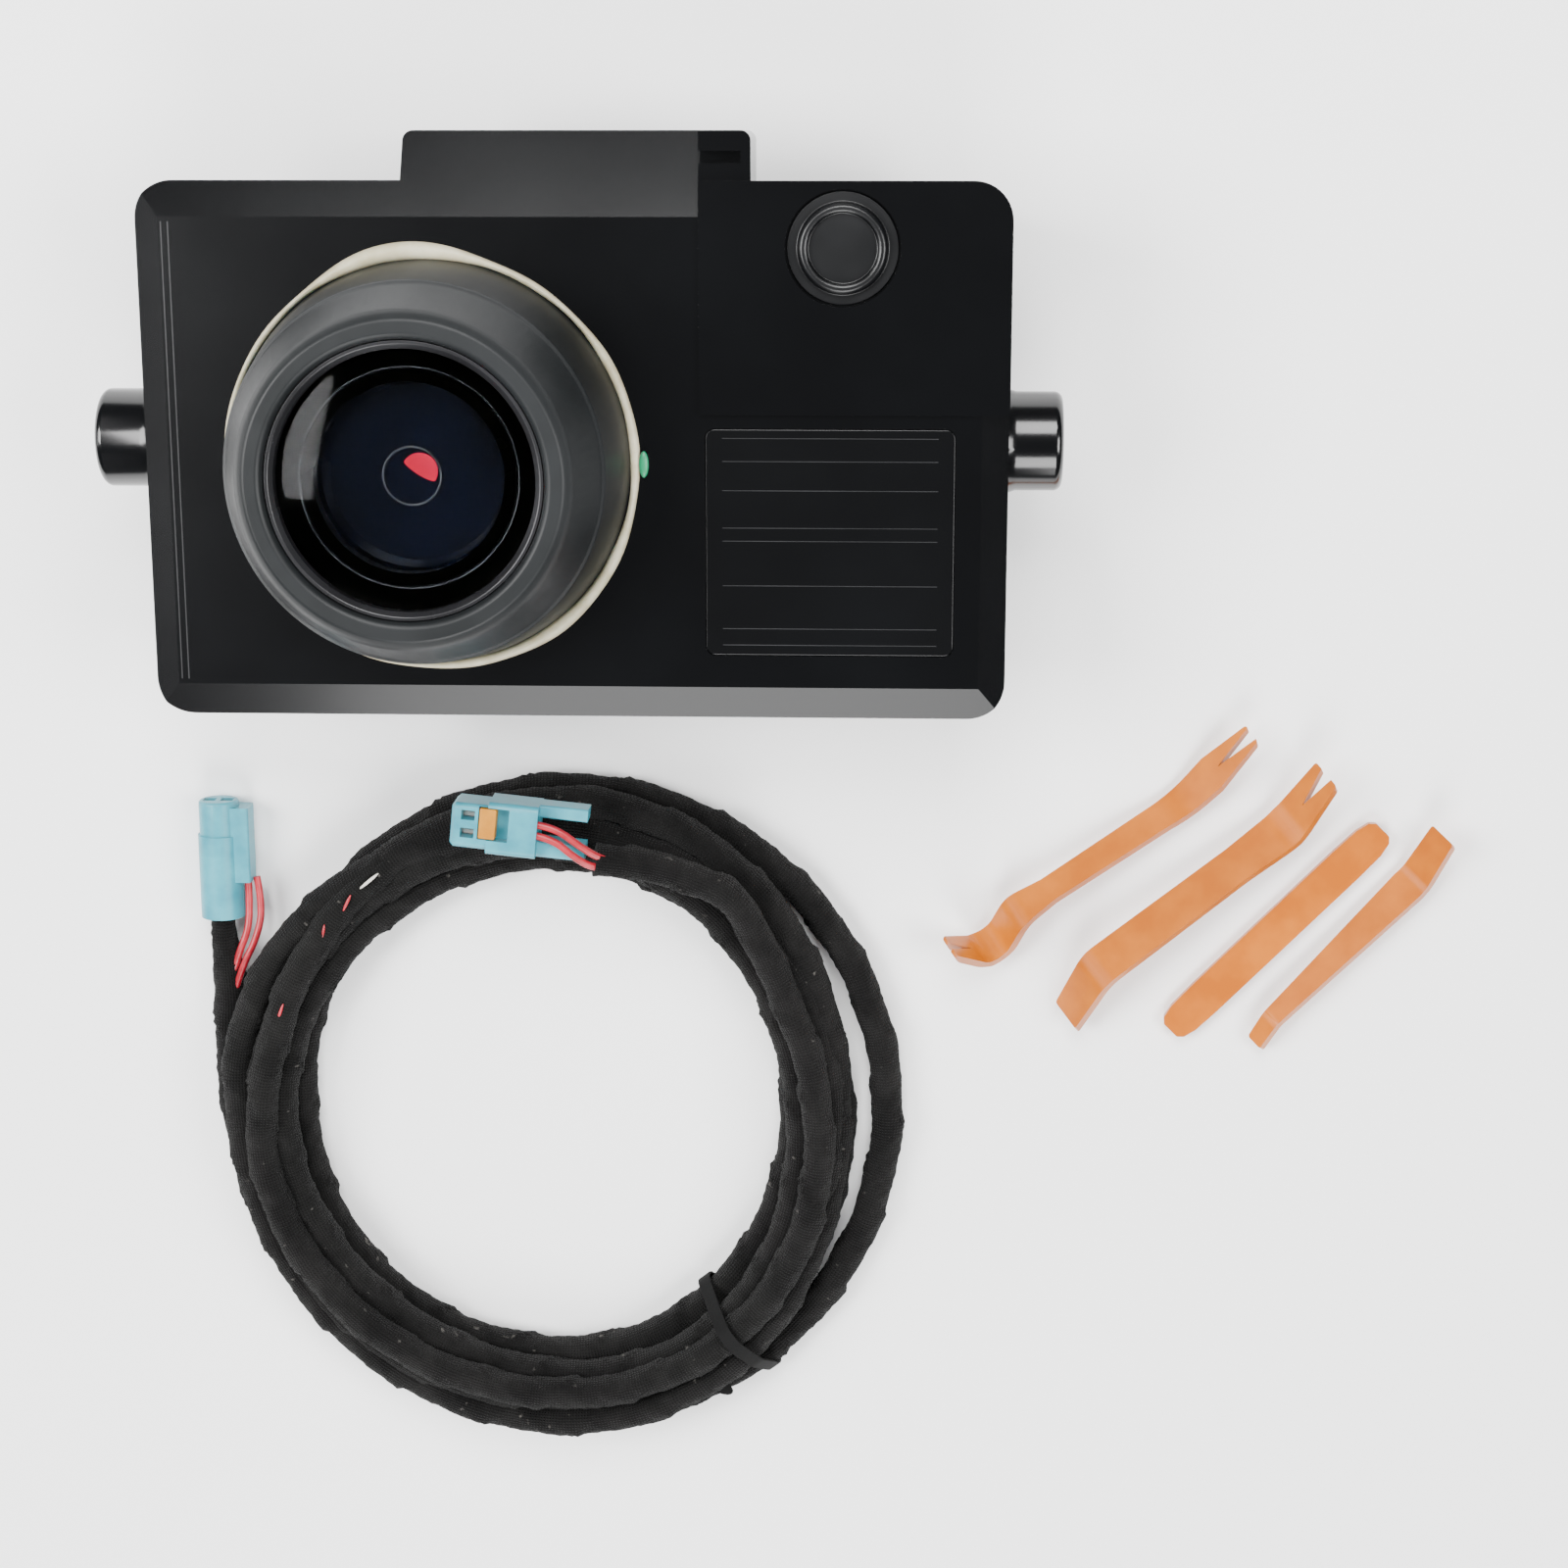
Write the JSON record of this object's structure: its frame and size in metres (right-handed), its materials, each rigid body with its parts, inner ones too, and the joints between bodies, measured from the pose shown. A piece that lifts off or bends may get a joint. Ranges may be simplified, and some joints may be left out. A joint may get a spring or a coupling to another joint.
{
  "type": "backup camera kit",
  "caption": "Backup camera module with side pins and a raised lens, its taped harness coil with two plugs, and plastic pry tools.",
  "frame": {"origin": "centre of the camera module's flat rear face, on the plane that the whole kit lies on", "axes": "+Z out of the lens, +X along the two side pins towards the small sensor cap's side, +Y towards the mounting tab"},
  "size_m": [0.2049, 0.2121, 0.058],
  "materials": {
    "housing_black": "gloss moulded",
    "barrel_black": "fine satin",
    "ring_black": "black satin",
    "holder_black": "matt",
    "cap_black": "gloss",
    "socket_black": "matt",
    "label_black": "satin plate with faint rules",
    "cream_sealant": "cured sealant bead",
    "lens_glass": "coated optical glass",
    "filter_glass": "coated filter glass",
    "seal_rubber": "matt",
    "screw_steel": "zinc plated",
    "brass": "machined",
    "board_green": "solder mask",
    "chip_black": "matt",
    "sensor_chip": "sensor cover glass",
    "flex_link": "polyimide film",
    "shield_metal": "tin plated",
    "capacitor_can": "drawn can",
    "cloth_tape": "woven cloth tape",
    "tie_black": "tape strip",
    "plug_teal": "satin moulded",
    "lock_orange": "satin moulded",
    "contact_metal": "tin plated",
    "wire_red": "pvc insulation",
    "tool_orange": "gloss nylon"
  },
  "bodies": {
    "camera": {"front_housing": "housing_black", "rear_cover": "housing_black", "rear_cover_seal": "seal_rubber", "cover_screws": "screw_steel", "threaded_inserts": "brass", "lens_barrel": "barrel_black", "lens_seal_ring": "cream_sealant", "front_glass": "lens_glass", "lens_retaining_ring": "ring_black", "lens_spacer": "ring_black", "inner_lens": "lens_glass", "aperture_stop": "ring_black", "rear_spacer": "ring_black", "rear_lens": "lens_glass", "lens_holder": "holder_black", "infrared_filter": "filter_glass", "image_sensor": "sensor_chip", "sensor_board": "board_green", "main_board": "board_green", "board_spacers": "brass", "board_screws": "screw_steel", "board_link": "flex_link", "processor_chip": "chip_black", "shield_can": "shield_metal", "capacitors": "capacitor_can", "socket_shell": "socket_black", "socket_seal": "seal_rubber", "socket_contacts": "brass", "label_plate": "label_black", "light_sensor_cap": "cap_black", "light_sensor_element": "sensor_chip"},
    "harness": {"harness_coil": "cloth_tape", "harness_tail_a": "cloth_tape", "harness_tail_b": "cloth_tape", "coil_tie": "tie_black", "connector_a_housing": "plug_teal", "connector_a_contacts": "contact_metal", "connector_a_wires": "wire_red", "connector_b_housing": "plug_teal", "connector_b_contacts": "contact_metal", "connector_b_wires": "wire_red"},
    "plug_lock": {"connector_b_lock": "lock_orange"},
    "hook_tool": {"pry_tool_hook": "tool_orange"},
    "fork_tool": {"pry_tool_fork": "tool_orange"},
    "paddle_tool": {"pry_tool_paddle": "tool_orange"},
    "wedge_tool": {"pry_tool_wedge": "tool_orange"}
  },
  "joints": [
    {"name": "harness_lift", "type": "slide", "parent": "camera", "child": "harness", "axis": [0, 0, 1], "range_m": [0, 0.06]},
    {"name": "lock_slide", "type": "slide", "parent": "harness", "child": "plug_lock", "axis": [0.9945, -0.1045, 0], "range_m": [0, 0.0015]},
    {"name": "hook_tool_lift", "type": "slide", "parent": "camera", "child": "hook_tool", "axis": [0, 0, 1], "range_m": [0, 0.05]},
    {"name": "fork_tool_lift", "type": "slide", "parent": "camera", "child": "fork_tool", "axis": [0, 0, 1], "range_m": [0, 0.05]},
    {"name": "paddle_tool_lift", "type": "slide", "parent": "camera", "child": "paddle_tool", "axis": [0, 0, 1], "range_m": [0, 0.05]},
    {"name": "wedge_tool_lift", "type": "slide", "parent": "camera", "child": "wedge_tool", "axis": [0, 0, 1], "range_m": [0, 0.05]}
  ]
}
